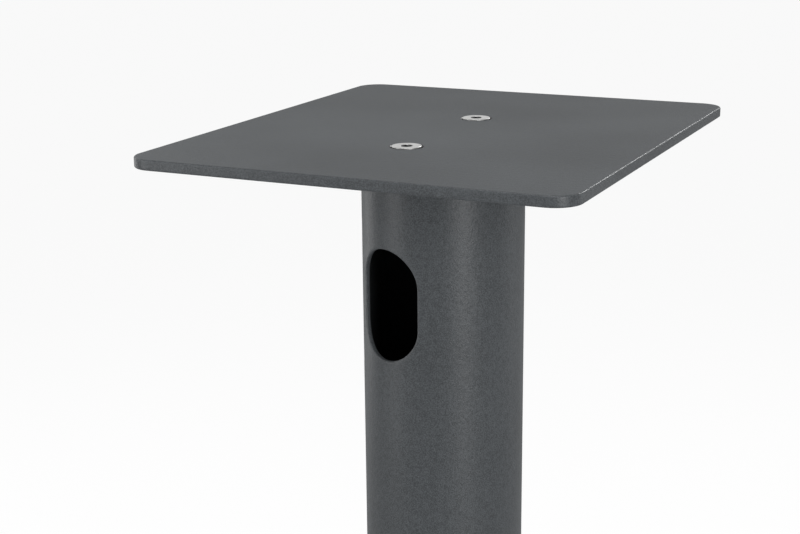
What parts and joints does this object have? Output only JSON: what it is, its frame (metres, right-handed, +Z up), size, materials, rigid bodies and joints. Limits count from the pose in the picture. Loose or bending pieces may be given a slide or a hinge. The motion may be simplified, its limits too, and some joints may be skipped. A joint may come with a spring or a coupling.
{
  "type": "speaker stand",
  "caption": "Steel speaker stand: flat rounded top plate on a round column with cable slots, heavy base plate, levelling spikes on floor discs.",
  "frame": {"origin": "on the floor, below the axis of the column, which is the middle of the base plate", "axes": "+Z up along the column, -Y the front of the stand, +Y the rear, where the cable slots look"},
  "size_m": [0.25, 0.3, 0.6003],
  "materials": {
    "powder_coat": "dark grey powder coat, satin, very fine texture",
    "zinc": "bright zinc plated screws",
    "black_steel": "black oxide steel",
    "turned_steel": "turned and nickel plated steel",
    "rubber": "matt black rubber"
  },
  "bodies": {
    "stand": {"top_plate": "powder_coat", "top_plate_screws": "zinc", "top_flange": "powder_coat", "column_tube": "powder_coat", "base_flange": "powder_coat", "base_plate": "powder_coat", "base_screws": "zinc", "lock_nuts": "black_steel"},
    "foot_front_left": {"floor_disc_front_left": "turned_steel", "floor_pad_front_left": "rubber"},
    "spike_front_left": {"spike_front_left": "black_steel"},
    "foot_front_right": {"floor_disc_front_right": "turned_steel", "floor_pad_front_right": "rubber"},
    "spike_front_right": {"spike_front_right": "black_steel"},
    "foot_rear_left": {"floor_disc_rear_left": "turned_steel", "floor_pad_rear_left": "rubber"},
    "spike_rear_left": {"spike_rear_left": "black_steel"},
    "foot_rear_right": {"floor_disc_rear_right": "turned_steel", "floor_pad_rear_right": "rubber"},
    "spike_rear_right": {"spike_rear_right": "black_steel"}
  },
  "joints": [
    {"name": "level_front_left", "type": "slide", "parent": "stand", "child": "foot_front_left", "axis": [0, 0, -1], "range_m": [-0.004, 0.007]},
    {"name": "turn_front_left", "type": "hinge", "parent": "foot_front_left", "child": "spike_front_left", "pos_m": [-0.099, -0.124, 0.0295], "axis": [0, 0, -1], "range_deg": [-1444, 2524]},
    {"name": "level_front_right", "type": "slide", "parent": "stand", "child": "foot_front_right", "axis": [0, 0, -1], "range_m": [-0.004, 0.007]},
    {"name": "turn_front_right", "type": "hinge", "parent": "foot_front_right", "child": "spike_front_right", "pos_m": [0.099, -0.124, 0.0295], "axis": [0, 0, -1], "range_deg": [-1444, 2524]},
    {"name": "level_rear_left", "type": "slide", "parent": "stand", "child": "foot_rear_left", "axis": [0, 0, -1], "range_m": [-0.004, 0.007]},
    {"name": "turn_rear_left", "type": "hinge", "parent": "foot_rear_left", "child": "spike_rear_left", "pos_m": [-0.099, 0.124, 0.0295], "axis": [0, 0, -1], "range_deg": [-1444, 2524]},
    {"name": "level_rear_right", "type": "slide", "parent": "stand", "child": "foot_rear_right", "axis": [0, 0, -1], "range_m": [-0.004, 0.007]},
    {"name": "turn_rear_right", "type": "hinge", "parent": "foot_rear_right", "child": "spike_rear_right", "pos_m": [0.099, 0.124, 0.0295], "axis": [0, 0, -1], "range_deg": [-1444, 2524]}
  ],
  "couplings": [
    {"joint": "turn_front_left", "follows": "level_front_left", "rad_per_m": 6283.2},
    {"joint": "turn_front_right", "follows": "level_front_right", "rad_per_m": 6283.2},
    {"joint": "turn_rear_left", "follows": "level_rear_left", "rad_per_m": 6283.2},
    {"joint": "turn_rear_right", "follows": "level_rear_right", "rad_per_m": 6283.2}
  ]
}
